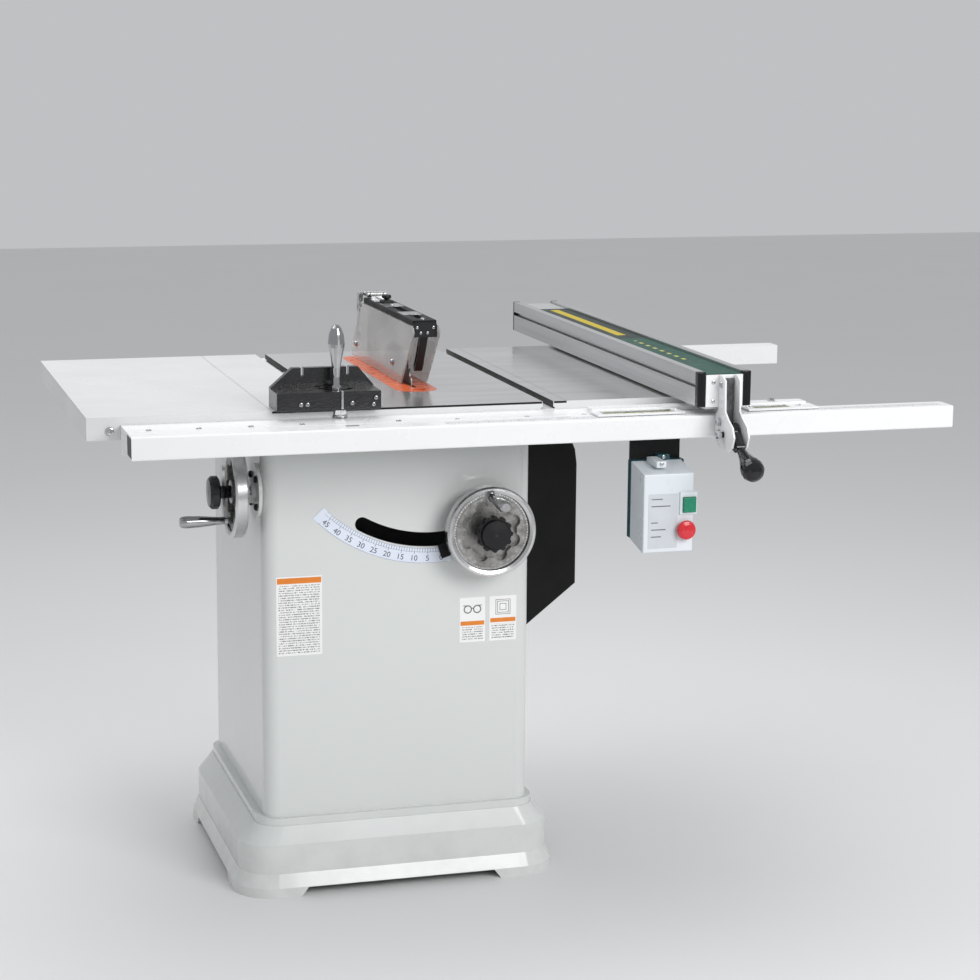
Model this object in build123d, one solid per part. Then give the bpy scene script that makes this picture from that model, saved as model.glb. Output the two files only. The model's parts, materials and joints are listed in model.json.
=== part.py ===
from build123d import *
import os
from math import acos, atan2, cos, radians, sin

# Cabinet table saw with a 10 in blade that tilts to the right. Lengths are in mm.
# Origin: floor, centre of the cabinet. +X right along the rails, +Y to the back, +Z up.

# ---- table and rails -------------------------------------------------------
TABLE_Z = 863.6                      # 34 in working height
PLATE = 12.0                         # cast plate thickness
TABLE_X0, TABLE_X1 = -238.0, 270.0   # 20 in wide
TABLE_Y0, TABLE_Y1 = -331.5, 354.5   # 27 in deep
WING = 303.0                         # each side wing
SKIRT_Z = 826.0                      # lower edge of the table and wing skirts
SLOT_X = (-124.0, 236.6)             # mitre slots
SLOT_W, SLOT_D = 19.05, 9.5
SLOT_FOOT_W, SLOT_FOOT_D = 24.0, 12.9
RAIL_X0, RAIL_X1 = -486.0, 932.0
RAIL_Y0, RAIL_Y1 = -454.5, -401.8
RAIL_Z0, RAIL_Z1 = 812.0, 850.0
REAR_X0, REAR_X1 = -486.0, 948.0

# ---- stand -----------------------------------------------------------------
CAB_HX, CAB_HY = 237.4, 242.3        # half sizes of the cabinet
CAB_Z0, CAB_Z1 = 136.0, 826.0
SHEET = 2.5

# ---- tilting parts ---------------------------------------------------------
TX, TZ = 57.0, TABLE_Z               # tilt axis, along Y in the table surface
BLADE_R = 127.0
ARBOR_Y, ARBOR_Z = 0.0, 801.6
PIVOT_Y, PIVOT_Z = -114.0, 765.0     # the arbor arm swings about this axis
MOTOR_Y, MOTOR_Z = 30.0, 693.0
LIFT_X, LIFT_Z = TX + 93.7, 634.0    # elevation shaft
TILT_Y, TILT_Z = -195.0, 706.0       # tilt worm shaft

# ---- throat insert ---------------------------------------------------------
INS_X0, INS_X1 = 17.5, 90.5
INS_Y0, INS_Y1 = -178.0, 292.0
INS_R, INS_T = 33.0, 5.5

# ---- fence -----------------------------------------------------------------
FENCE_Y1 = 580.0
FENCE_X0, FENCE_X1 = 453.5, 548.0
FACE_T = 14.0
LEVER_X, LEVER_Y, LEVER_Z = 505.5, -494.0, 823.0


# ---- helpers ---------------------------------------------------------------
def box(x0, x1, y0, y1, z0, z1):
    return Pos((x0 + x1) / 2, (y0 + y1) / 2, (z0 + z1) / 2) * Box(x1 - x0, y1 - y0, z1 - z0)


def cyl_x(r, x0, x1, y, z):
    return Pos((x0 + x1) / 2, y, z) * Rot(0, 90, 0) * Cylinder(r, x1 - x0)


def cyl_y(r, y0, y1, x, z):
    return Pos(x, (y0 + y1) / 2, z) * Rot(90, 0, 0) * Cylinder(r, y1 - y0)


def cyl_z(r, z0, z1, x, y):
    return Pos(x, y, (z0 + z1) / 2) * Cylinder(r, z1 - z0)


def hex_x(r, x0, x1, y, z):
    return Pos(x0, y, z) * Rot(0, 90, 0) * extrude(RegularPolygon(r, 6), amount=x1 - x0)


def hex_z(r, z0, z1, x, y):
    return Pos(x, y, z0) * extrude(RegularPolygon(r, 6), amount=z1 - z0)


def prism_x(points, x0, x1):
    """Outline of (y, z) points, extruded along X."""
    return extrude(Plane.YZ.offset(x0) * Polygon(*points, align=None), amount=x1 - x0, dir=(1, 0, 0))


def prism_y(points, y0, y1):
    """Outline of (x, z) points, extruded along Y."""
    return extrude(Plane.XZ.offset(-y0) * Polygon(*points, align=None), amount=y1 - y0, dir=(0, 1, 0))


def prism_z(points, z0, z1):
    """Outline of (x, y) points, extruded along Z."""
    return extrude(Plane.XY.offset(z0) * Polygon(*points, align=None), amount=z1 - z0, dir=(0, 0, 1))


def slab(hx, hy, r, z0, z1, x=0.0, y=0.0):
    """Upright block with rounded corners, from half sizes."""
    face = Plane((x, y, z0)) * RectangleRounded(2 * hx, 2 * hy, r)
    return extrude(face, amount=z1 - z0)


def flare(lower, upper, z0, z1):
    """Loft between two rounded rectangles, each (half x, half y, corner radius)."""
    a = Plane((0, 0, z0)) * RectangleRounded(2 * lower[0], 2 * lower[1], lower[2])
    b = Plane((0, 0, z1)) * RectangleRounded(2 * upper[0], 2 * upper[1], upper[2])
    return loft([a, b])


def arc_sector(r0, r1, a0, a1, y0, y1):
    """Ring sector about the tilt axis; angles in degrees from straight down, positive to +X."""
    ring = cyl_y(r1, y0, y1, TX, TZ) - cyl_y(r0, y0 - 1, y1 + 1, TX, TZ)
    steps = [a0 + (a1 - a0) * i / 6 for i in range(7)]
    far = 1.3 * r1
    fan = [(TX, TZ)] + [(TX + far * sin(radians(a)), TZ - far * cos(radians(a))) for a in steps]
    return ring & prism_y(fan, y0 - 1, y1 + 1)


def hull_x(circles, x0, x1):
    """Two circles (y, z, r) joined by a web along their outer tangents, extruded along X."""
    (ya, za, ra), (yb, zb, rb) = circles
    gap = ((yb - ya) ** 2 + (zb - za) ** 2) ** 0.5
    along, tilt = atan2(zb - za, yb - ya), acos((ra - rb) / gap)
    corners = ((ya, za, ra, -tilt), (yb, zb, rb, -tilt), (yb, zb, rb, tilt), (ya, za, ra, tilt))
    web = [(y + r * cos(along + k), z + r * sin(along + k)) for y, z, r, k in corners]
    return prism_x(web, x0, x1) + cyl_x(ra, x0, x1, ya, za) + cyl_x(rb, x0, x1, yb, zb)


def turned(profile, axis_point, direction):
    """Solid of revolution from (radius, height) points, placed on an axis."""
    face = Plane.XZ * Polygon(*profile, align=None)
    body = revolve(face, Axis.Z)
    return Plane(origin=axis_point, z_dir=direction) * body


def group(parts):
    return Compound(children=list(parts))


# ---- stand -----------------------------------------------------------------
def base_plinth():
    body = slab(290, 272, 70, 0, 17)
    body += flare((290, 272, 70), (280, 262.5, 62), 17, 40)
    body += slab(279, 262.5, 60, 40, 92)
    body += flare((279, 262.5, 60), (252, 252, 45), 92, 123)
    body += slab(250, 250, 43, 123, CAB_Z0)
    body -= slab(266, 250, 48, -1, 92)
    body -= flare((266, 250, 48), (238, 238, 34), 91.9, 118)
    body -= slab(215, 215, 30, 117, CAB_Z0 + 1)
    body -= prism_y([(-181, -1), (181, -1), (168, 16), (-168, 16)], -300, 300)
    body -= prism_x([(-163, -1), (163, -1), (150, 16), (-150, 16)], -320, 320)
    return body


def slot_end(angle, y0, y1):
    return cyl_y(12.5, y0, y1, TX + 248 * sin(radians(angle)), TZ - 248 * cos(radians(angle)))


def cabinet_shell():
    outer = slab(CAB_HX, CAB_HY, 25, CAB_Z0, CAB_Z1)
    inner = slab(CAB_HX - SHEET, CAB_HY - SHEET, 22.5, CAB_Z0 + SHEET, CAB_Z1 - SHEET)
    body = outer - inner - slab(CAB_HX - 24, CAB_HY - 10, 12, CAB_Z0 - 1, CAB_Z1 + 1)
    # curved slot that the elevation shaft travels in, and the hole of the tilt shaft
    y0, y1 = -CAB_HY - 5, -CAB_HY + 12
    body -= arc_sector(235.5, 260.5, -29.6, 25.1, y0, y1)
    body -= slot_end(-29.6, y0, y1)
    body -= slot_end(25.1, y0, y1)
    body -= cyl_x(16, -CAB_HX - 5, -CAB_HX + 12, TILT_Y, TILT_Z)
    # motor opening in the right wall, dust outlet and vents in the back wall
    body -= box(CAB_HX - 8, CAB_HX + 5, -122, 142, 430, 800)
    body -= cyl_y(50.9, CAB_HY - 12, CAB_HY + 5, 0, 250)
    for i in range(5):
        body -= box(-150, -30, CAB_HY - 6, CAB_HY + 2, 560 + 24 * i, 568 + 24 * i)
    return body


def stand_bolts():
    """Bolts that hold the cabinet to its base and to the table, and the wings to the table."""
    bolts = []
    for x in (-222, 222):
        for y in (-100, 180):
            bolts.append(hex_z(6.5, CAB_Z0 + SHEET + 0.1, CAB_Z0 + SHEET + 6, x, y))
            bolts.append(hex_z(6.5, CAB_Z1 - SHEET - 6, CAB_Z1 - SHEET - 0.1, x, y))
    for y in (-260, 60, 280):
        bolts.append(hex_x(6.5, TABLE_X0 - 15.2, TABLE_X0 - 9.2, y, 839))
        bolts.append(hex_x(6.5, TABLE_X1 + 9.2, TABLE_X1 + 15.2, y, 839))
    return group(bolts)


def dust_port():
    y = CAB_HY
    body = cyl_y(66, y + 0.1, y + 3.5, 0, 250) + cyl_y(50.8, y - 4.3, y + 58, 0, 250)
    body -= cyl_y(48.5, y - 10, y + 70, 0, 250)
    for i in range(4):
        a = radians(45 + 90 * i)
        body -= cyl_y(2.6, y - 2, y + 8, 58.5 * cos(a), 250 + 58.5 * sin(a))
    return body


def dust_chute():
    """Sloped sheet inside the cabinet that leads sawdust to the outlet."""
    outline = [(-239.5, 432), (-239.5, 429.5), (196, 190), (239.5, 190), (239.5, 192.5), (196.7, 192.5)]
    return prism_x(outline, -210, 210)


def cover_outline(inset):
    i = inset
    points = [(CAB_HX + 0.8, 398 + i), (274, 428 + i), (358.5 - i, 495 + i)]
    for k in range(7):
        a = radians(15 * k)
        points.append((258.5 + (100 - i) * cos(a), 715 + (100 - i) * sin(a)))
    return points + [(CAB_HX + 0.8, 815 - i)]


def motor_cover():
    body = prism_y(cover_outline(0), -130, 150)
    rim = body.edges().group_by(Axis.Y)[0].filter_by(lambda e: e.center().X > 245)
    body = fillet(rim, 5)
    body -= prism_y(cover_outline(2.2), -127.8, 147.8)
    body -= box(CAB_HX - 5, CAB_HX + 3.5, -127.8, 147.8, 401, 812.8)
    for z in (470, 700):
        body += cyl_z(1.5, z, z + 50, 239, 152) + box(238.2, 239.8, 149, 152, z, z + 50)
    return body


# ---- table -----------------------------------------------------------------
def slot_cut(x, y0, y1):
    top = box(x - SLOT_W / 2, x + SLOT_W / 2, y0, y1, TABLE_Z - SLOT_D, TABLE_Z + 1)
    foot_w = SLOT_FOOT_W / 2
    return top + box(x - foot_w, x + foot_w, y0, y1, TABLE_Z - SLOT_FOOT_D, TABLE_Z - SLOT_D + 0.01)


def table_main():
    x0, x1, y0, y1 = TABLE_X0, TABLE_X1, TABLE_Y0, TABLE_Y1
    low = TABLE_Z - PLATE
    body = box(x0, x1, y0, y1, low, TABLE_Z)
    body += box(x0, x1, y0, y1, SKIRT_Z, low) - box(x0 + 10, x1 - 10, y0 + 10, y1 - 10, SKIRT_Z - 1, low + 1)
    body += slab(CAB_HX, CAB_HY, 25, SKIRT_Z, low) - slab(CAB_HX - 10, CAB_HY - 9, 16, SKIRT_Z - 1, low + 1)
    for x in SLOT_X:
        body += box(x - 22, x + 22, y0 + 5, y1 - 5, low - 8, low)
    for y in (-290, 300):
        body += box(x0 + 5, x1 - 5, y - 5, y + 5, low - 14, low)
    for x in SLOT_X:
        body -= slot_cut(x, y0 - 1, y1 + 1)
    xm, ym = (INS_X0 + INS_X1) / 2, (INS_Y0 + INS_Y1) / 2
    hx, hy = (INS_X1 - INS_X0) / 2, (INS_Y1 - INS_Y0) / 2
    body -= slab(hx + 0.4, hy + 0.4, INS_R + 0.4, TABLE_Z - INS_T - 0.3, TABLE_Z + 1, xm, ym)
    body -= slab(hx - 7, hy - 7, INS_R - 7, SKIRT_Z - 2, TABLE_Z, xm, ym)
    return body


def wing(x0):
    x1 = x0 + WING
    y0, y1 = TABLE_Y0, TABLE_Y1
    body = box(x0, x1, y0, y1, SKIRT_Z, TABLE_Z)
    body -= box(x0 + 9, x1 - 9, y0 + 9, y1 - 9, SKIRT_Z - 1, TABLE_Z - 10)
    for i in range(1, 4):
        y = y0 + (y1 - y0) * i / 4
        body += box(x0 + 5, x1 - 5, y - 4, y + 4, SKIRT_Z + 6, TABLE_Z - 9)
    xm = (x0 + x1) / 2
    return body + box(xm - 4, xm + 4, y0 + 5, y1 - 5, SKIRT_Z + 6, TABLE_Z - 9)


def throat_insert():
    xm, ym = (INS_X0 + INS_X1) / 2, (INS_Y0 + INS_Y1) / 2
    body = slab((INS_X1 - INS_X0) / 2, (INS_Y1 - INS_Y0) / 2, INS_R, TABLE_Z - INS_T, TABLE_Z, xm, ym)
    slot = [(53.6, TABLE_Z + 0.01), (61, TABLE_Z + 0.01), (61, 858), (47.6, 858)]
    body -= prism_y(slot, -128, 218)
    body -= cyl_z(10, TABLE_Z - 7, TABLE_Z + 1, xm + 6, -152)
    for x in (29, 80):
        for y in (-110, 60, 235):
            body -= cyl_z(4.4, TABLE_Z - 3.0, TABLE_Z + 1, x, y)
    return body


# ---- rails -----------------------------------------------------------------
def rail_front_tube():
    body = box(RAIL_X0, RAIL_X1, RAIL_Y0, RAIL_Y1, RAIL_Z0, RAIL_Z1)
    body = fillet(body.edges().filter_by(Axis.X), 3.0)
    return body - box(RAIL_X0 - 1, RAIL_X1 + 1, RAIL_Y0 + 2.5, RAIL_Y1 - 2.5, RAIL_Z0 + 2.5, RAIL_Z1 - 2.5)


def rail_front_angle():
    """Angle bolted to the table front; its flat leg is the shelf behind the tube."""
    shelf = box(RAIL_X0, 600, RAIL_Y1 + 0.1, TABLE_Y0 - 0.1, RAIL_Z1 - 5, RAIL_Z1)
    leg = box(RAIL_X0, 600, TABLE_Y0 - 5, TABLE_Y0 - 0.1, 800, RAIL_Z1 - 5)
    lip = box(RAIL_X0, 600, RAIL_Y1 + 0.1, RAIL_Y1 + 4, RAIL_Z0 + 4, RAIL_Z1 - 5)
    return shelf + leg + lip


def rail_rear():
    leg = box(REAR_X0, REAR_X1, TABLE_Y1 + 0.1, TABLE_Y1 + 5, 813, 850)
    return leg + box(REAR_X0, REAR_X1, TABLE_Y1 + 5, 395, 845, 850)


# ---- tilt scale and left bearing -------------------------------------------
def tilt_scale():
    return arc_sector(263, 290, -46, 7, -CAB_HY - 0.9, -CAB_HY - 0.1)


def tilt_flange():
    x = -CAB_HX
    body = cyl_x(47, x - 6, x - 0.1, TILT_Y, TILT_Z) + cyl_x(21, x - 13, x - 6, TILT_Y, TILT_Z)
    body += cyl_x(14, x - 0.1, x + 50, TILT_Y, TILT_Z)
    body -= cyl_x(8.4, x - 20, x + 60, TILT_Y, TILT_Z)
    for a in (45, 135, 225, 315):
        y, z = TILT_Y + 34 * cos(radians(a)), TILT_Z + 34 * sin(radians(a))
        body -= cyl_x(3, x - 8, x + 1, y, z)
    return body


# ---- trunnions and tilting cradle ------------------------------------------
def half_disc(y0, y1, groove_y0, groove_y1):
    low = TABLE_Z - PLATE - 0.1
    plate = cyl_y(130, y0, y1, TX, TZ) & box(TX - 140, TX + 140, y0 - 1, y1 + 1, TZ - 140, low)
    return plate - (cyl_y(110, groove_y0, groove_y1, TX, TZ) - cyl_y(96, groove_y0 - 1, groove_y1 + 1, TX, TZ))


def trunnions():
    """Slotted half discs under the table; the front one carries the inner tilt-shaft bearing."""
    front = half_disc(-230, -212, -221, -211)
    front += box(88, 104, -230, -212, 693, 760)
    front += box(88, 104, -213, -195, 693, 719) + cyl_x(13, 88, 104, TILT_Y, TILT_Z)
    front -= cyl_x(8.4, 80, 110, TILT_Y, TILT_Z)
    front -= cyl_y(110, -221, -211, TX, TZ) - cyl_y(96, -222, -210, TX, TZ)
    return group([front, half_disc(212, 230, 211, 221)])


def cradle():
    # front trunnion segment, arm ears and the lower leg with the elevation bearing
    body = arc_sector(85, 109, -22, 66, -211.5, -138)
    body += arc_sector(97.2, 108.8, -22, 66, -220.5, -211.4)
    outline = [(-42, 788), (-20, 800), (60, 800), (112, 788), (112, 750), (80, 750), (80, 650), (94, 648),
               (107, 636), (107, 622), (60, 622), (-42, 703)]
    body += prism_y([(TX + a, b) for a, b in outline], -152, -138)
    body += cyl_y(14, -152, -138, LIFT_X, LIFT_Z) + cyl_y(11.5, -256, -138, LIFT_X, LIFT_Z)
    for a, b in ((10, 23.5), (101.5, 112)):
        body += cyl_x(22, TX + a, TX + b, PIVOT_Y, PIVOT_Z)
        body += box(TX + a, TX + b, -140, PIVOT_Y, PIVOT_Z - 13, PIVOT_Z + 20)
    # spine along the left side, rear trunnion segment and the splitter lug
    body += box(TX - 42, TX - 30, -152, 186, 703, 788)
    rear = [(-42, 788), (-20, 800), (60, 800), (70, 760), (20, 703), (-42, 703)]
    body += prism_y([(TX + a, b) for a, b in rear], 172, 186)
    body += arc_sector(85, 109, -22, 66, 172, 211.5)
    body += arc_sector(97.2, 108.8, -22, 66, 211.4, 220.5)
    body += box(TX + 1.4, TX + 12, 136, 173, 742, 800)
    body -= cyl_y(8.4, -260, -130, LIFT_X, LIFT_Z)
    return body - cyl_x(12.0, TX, TX + 120, PIVOT_Y, PIVOT_Z)


def tilt_gear():
    """Toothed segment that the tilt worm turns."""
    body = arc_sector(109.1, 141, -6, 51, -203, -187)
    for i in range(16):
        a = radians(-5 + 3.6 * i)
        body -= cyl_y(2.6, -204, -186, TX + 142 * sin(a), TZ - 142 * cos(a))
    return body


def pivot_pin():
    return cyl_x(11.92, TX + 11, TX + 112, PIVOT_Y, PIVOT_Z)


# ---- arbor arm -------------------------------------------------------------
def arbor_arm():
    body = hull_x([(PIVOT_Y, PIVOT_Z, 20), (ARBOR_Y, ARBOR_Z, 27)], TX + 25, TX + 60)
    body += cyl_x(30, TX + 13, TX + 62, ARBOR_Y, ARBOR_Z)
    body += cyl_x(20, TX + 25, TX + 100, PIVOT_Y, PIVOT_Z)
    # gear segment in mesh with the elevation worm
    fan = [(PIVOT_Y, PIVOT_Z)]
    for i in range(6):
        a = radians(-10 + 10 * i)
        fan.append((PIVOT_Y + 150 * sin(a), PIVOT_Z - 150 * cos(a)))
    segment = cyl_x(115.4, TX + 86, TX + 100, PIVOT_Y, PIVOT_Z) & prism_x(fan, TX + 85, TX + 101)
    for i in range(13):
        a = radians(-8 + 3.9 * i)
        segment -= cyl_x(2.4, TX + 80, TX + 110, PIVOT_Y + 116.4 * sin(a), PIVOT_Z - 116.4 * cos(a))
    body += segment
    # rib and beam to the motor plate
    body += prism_x([(-84, 700), (-44, 700), (-44, 775), (-84, 768)], TX + 25, TX + 60)
    body += box(TX + 25, TX + 109, -84, -44, 700, 735)
    body += hull_x([(MOTOR_Y, MOTOR_Z, 60), (-64, 717, 17)], TX + 99, TX + 109)
    body -= cyl_x(20, TX + 90, TX + 120, MOTOR_Y, MOTOR_Z)
    body -= cyl_x(24, TX + 15, TX + 29, ARBOR_Y, ARBOR_Z)
    body -= cyl_x(24, TX + 48, TX + 63, ARBOR_Y, ARBOR_Z)
    body -= cyl_x(15, TX + 10, TX + 70, ARBOR_Y, ARBOR_Z)
    return body - cyl_x(12.4, TX, TX + 120, PIVOT_Y, PIVOT_Z)


def arbor_bearings():
    rings = []
    for a in (15.5, 48.5):
        ring = cyl_x(23.9, TX + a, TX + a + 13, ARBOR_Y, ARBOR_Z)
        rings.append(ring - cyl_x(12.9, TX, TX + 90, ARBOR_Y, ARBOR_Z))
    return group(rings)


def belts():
    """Three V-belts between the motor and the arbor."""
    loops = []
    for x in (TX + 68.5, TX + 78.5, TX + 88.5):
        outer = hull_x([(ARBOR_Y, ARBOR_Z, 31.5), (MOTOR_Y, MOTOR_Z, 37.5)], x, x + 7)
        inner = hull_x([(ARBOR_Y, ARBOR_Z, 29), (MOTOR_Y, MOTOR_Z, 35)], x - 1, x + 8)
        loops.append(outer - inner)
    return group(loops)


def pulley(r_root, r_rim, bore, y, z):
    body = cyl_x(r_root, TX + 66, TX + 98, y, z)
    for x in (66, 76, 86, 96):
        body += cyl_x(r_rim, TX + x, TX + x + 2, y, z)
    return body - cyl_x(bore, TX + 60, TX + 110, y, z)


def arbor_pulley():
    return pulley(28.5, 32.5, 12.52, ARBOR_Y, ARBOR_Z)


def arbor_shaft():
    body = cyl_x(12.5, TX + 2, TX + 98, ARBOR_Y, ARBOR_Z) + cyl_x(25, TX + 1.6, TX + 11, ARBOR_Y, ARBOR_Z)
    return body + cyl_x(7.9, TX - 15, TX + 2, ARBOR_Y, ARBOR_Z)


def arbor_nut():
    """Arbor nut and the loose washer that clamp the blade."""
    hole = cyl_x(7.95, TX - 20, TX + 5, ARBOR_Y, ARBOR_Z)
    nut = hex_x(14, TX - 14, TX - 4.1, ARBOR_Y, ARBOR_Z) - hole
    return group([nut, cyl_x(22, TX - 4.0, TX - 1.6, ARBOR_Y, ARBOR_Z) - hole])


def saw_blade():
    """Forty-tooth blade with expansion slots."""
    points = []
    for i in range(40):
        for da, r in ((0.0, BLADE_R), (1.6, 125.4), (5.6, 121.0), (7.4, 117.0), (8.4, 118.4)):
            t = radians(9 * i + da)
            points.append((ARBOR_Y - r * sin(t), ARBOR_Z + r * cos(t)))
    body = prism_x(points, TX - 1.1, TX + 1.1) - cyl_x(7.95, TX - 5, TX + 5, ARBOR_Y, ARBOR_Z)
    for i in range(4):
        spoke = Pos(TX, ARBOR_Y, ARBOR_Z) * Rot(90 * i + 7.7, 0, 0)
        body -= spoke * Pos(0, 0, 108) * Box(8, 1.2, 26)
        body -= spoke * Pos(0, 0, 95) * Rot(0, 90, 0) * Cylinder(3, 8)
    return body


# ---- motor -----------------------------------------------------------------
def motor_body():
    axis = (MOTOR_Y, MOTOR_Z)
    body = cyl_x(68, 176, 312, *axis)
    for i in range(36):
        fin = Pos(240, MOTOR_Y, MOTOR_Z) * Rot(10 * i, 0, 0) * Pos(0, 0, 70) * Box(124, 2.6, 15)
        body += fin
    body += cyl_x(76, 166.1, 178, *axis) + cyl_x(76, 302, 312, *axis)
    cowl = [(0, 0), (76, 0), (76, 4), (42, 33), (0, 33)]
    body += cyl_x(76, 311, 312.5, *axis) + Plane(origin=(312, MOTOR_Y, MOTOR_Z), z_dir=(1, 0, 0)) * revolve(
        Plane.XZ * Polygon(*cowl, align=None), Axis.Z)
    hollow = [(0, -0.1), (73, -0.1), (73, 4), (39.5, 31), (0, 31)]
    body -= Plane(origin=(313, MOTOR_Y, MOTOR_Z), z_dir=(1, 0, 0)) * revolve(
        Plane.XZ * Polygon(*hollow, align=None), Axis.Z)
    for i in range(-3, 4):
        half = (36 ** 2 - (10 * i) ** 2) ** 0.5
        body -= box(342, 348, MOTOR_Y - half, MOTOR_Y + half, MOTOR_Z + 10 * i - 2.2, MOTOR_Z + 10 * i + 2.2)
    body += fillet(box(180, 222, 96, 128, 655, 731).edges().filter_by(Axis.X), 4)
    return body - cyl_x(10, 150, 314, *axis)


def motor_rotor():
    """Motor shaft with its three-groove pulley and cooling fan."""
    body = cyl_x(9.5, TX + 60, 338, MOTOR_Y, MOTOR_Z) + pulley(34.5, 38.5, 5, MOTOR_Y, MOTOR_Z)
    body += cyl_x(18, 318, 334, MOTOR_Y, MOTOR_Z)
    for i in range(8):
        body += Pos(322, MOTOR_Y, MOTOR_Z) * Rot(45 * i, 0, 0) * Pos(0, 0, 36) * Box(8, 2, 50)
    return body


# ---- splitter and blade guard ----------------------------------------------
def splitter():
    outline = [(134, 742), (171, 742), (171, 850), (215, 880), (215, 981.6), (60, 981.6), (60, 958), (134, 930)]
    return prism_x(outline, TX - 1.1, TX + 1.1) - cyl_x(3.2, TX - 5, TX + 5, 153, 767)


def guard_beam():
    body = box(47.1, 89.4, -150, 216, 972, 984) - box(49.3, 87.2, -151, 217, 971, 981.8)
    for y0, y1 in ((-120, -70), (-20, 60)):
        body -= box(62, 76, y0, y1, 980, 990)
    return body


def guard_nose():
    body = box(47.1, 89.4, -154, -137, 955, 971.9) + box(50, 86.5, -151, -137, 971, 981.7)
    cap = box(47.1, 89.4, -154, -150.1, 955, 979)
    return body + fillet(cap.edges().filter_by(Axis.Y), 2)


def guard_arm():
    """Slotted guide arm that hangs from the nose between the shields."""
    arm = prism_x([(-152, 954.9), (-138, 954.9), (-101, 898), (-103, 892), (-108, 889.5), (-114, 892)], 61, 74)
    return arm - prism_x([(-137, 938), (-132, 938), (-108, 901), (-112, 898)], 58, 78)


def guard_yoke():
    """Strap across the beam that carries the rear bolts of both shields."""
    body = box(47.6, 88.9, 255, 275, 900, 990) - box(54.6, 81.9, 250, 280, 899, 984)
    return body + box(56, 80, 216.1, 256, 984.3, 989.5) + box(56, 80, 190, 218, 984.1, 989.5)


def shield(x0):
    outline = [(-76, 864.4), (-160, 956), (-165, 964), (-161, 971), (-152, 975), (210, 975), (297, 888),
               (297, 866), (294, 864.4)]
    return prism_x(outline, x0, x0 + 3)


# ---- handwheels ------------------------------------------------------------
def wheel():
    """Handwheel on the +Z axis: back of the hub at 0, front of the rim at 32."""
    rim = [(79, 12), (79, 28), (76.5, 31.5), (73, 32), (68, 30), (66, 25), (60, 24.5), (50, 24.5), (22, 24.5),
           (19, 27), (0, 27), (0, 0), (17, 0), (19, 7), (60, 12.5), (66, 8), (76, 8.5)]
    body = revolve(Plane.XZ * Polygon(*rim, align=None), Axis.Z)
    pocket = Circle(46)
    for i in range(8):
        a = radians(45 * i + 22.5)
        pocket += Pos(43 * cos(a), 43 * sin(a)) * Circle(12)
    body -= extrude(Plane.XY.offset(15) * pocket, amount=20)
    body += Pos(0, 0, 13.5) * Cylinder(20, 26)
    body += Pos(0, 59, 18) * Cylinder(8.5, 14)
    return body - Pos(0, 59, 20) * Cylinder(4.0, 30) - Cylinder(8.02, 90)


def crank_grip():
    """Revolving handle with the plain shank it turns on."""
    profile = [(0, 0), (6, 0), (7.5, 3), (6.3, 8), (7.0, 22), (9.8, 52), (10.6, 74), (9.6, 82), (7, 85), (0, 85)]
    grip = Pos(0, 59, 25.6) * revolve(Plane.XZ * Polygon(*profile, align=None), Axis.Z)
    return grip + Pos(0, 59, 19) * Cylinder(3.6, 14)


def lobed_knob():
    cap = Circle(28.5)
    for i in range(12):
        a = radians(30 * i)
        cap += Pos(27.5 * cos(a), 27.5 * sin(a)) * Circle(4.6)
    body = Pos(0, 0, 32.5) * Cylinder(12, 11)
    body += extrude(Plane.XY.offset(37) * cap, amount=12)
    body += revolve(Plane.XZ * Polygon((0, 49), (26, 49), (24, 55), (0, 57.5), align=None), Axis.Z)
    return body - Pos(0, 0, 5) * Cylinder(8.3, 70)


def round_knob():
    body = Pos(0, 0, 37) * Cylinder(11, 20)
    body += revolve(Plane.XZ * Polygon((0, 47), (24, 47), (28.5, 50), (28.5, 60), (24, 64.5), (0, 66),
                                       align=None), Axis.Z)
    return body - Pos(0, 0, 10) * Cylinder(8.3, 70)


FRONT_WHEEL = Plane(origin=(LIFT_X, -266.3, LIFT_Z), x_dir=(1, 0, 0), z_dir=(0, -1, 0))
LEFT_WHEEL = Plane(origin=(-257.0, TILT_Y, TILT_Z), x_dir=(0, 0.920, 0.392), z_dir=(-1, 0, 0))


def elevation_shaft():
    """Shaft with its bearing collar and the worm that lifts the arbor arm."""
    body = cyl_y(8.0, -304, -104, LIFT_X, LIFT_Z) + cyl_y(11.5, -137.2, -133, LIFT_X, LIFT_Z)
    worm = cyl_y(15, -129, -106, LIFT_X, LIFT_Z)
    for i in range(4):
        ring = cyl_y(16, -127.5 + 5 * i, -125.0 + 5 * i, LIFT_X, LIFT_Z)
        worm -= ring - cyl_y(11, -128 + 5 * i, -124.5 + 5 * i, LIFT_X, LIFT_Z)
    return body + worm


def tilt_pointer():
    """Pointer clamped on the elevation sleeve; its tip reads the tilt scale."""
    a = radians(3.6)
    tx, tz = TX + 276 * sin(a), TZ - 276 * cos(a)
    body = cyl_y(16, -250, -246, LIFT_X, LIFT_Z)
    body += prism_y([(LIFT_X, LIFT_Z + 9), (LIFT_X + 2, LIFT_Z - 12), (tx + 16, tz - 1), (tx, tz - 6),
                     (tx - 7, tz + 17)], -250, -246)
    return body - cyl_y(11.52, -256, -240, LIFT_X, LIFT_Z)


def tilt_shaft():
    body = cyl_x(8.0, -301, 104, TILT_Y, TILT_Z) + cyl_x(12, -186, -182, TILT_Y, TILT_Z)
    worm = cyl_x(16, 33, 81, TILT_Y, TILT_Z)
    for i in range(9):
        ring = cyl_x(17, 35.5 + 5 * i, 38.0 + 5 * i, TILT_Y, TILT_Z)
        worm -= ring - cyl_x(12, 35 + 5 * i, 38.5 + 5 * i, TILT_Y, TILT_Z)
    return body + worm


# ---- mitre gauge -----------------------------------------------------------
MITRE_X, MITRE_Y = SLOT_X[0], -296.0
CLAMP_X, CLAMP_Y = -128.5, -325.0


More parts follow.
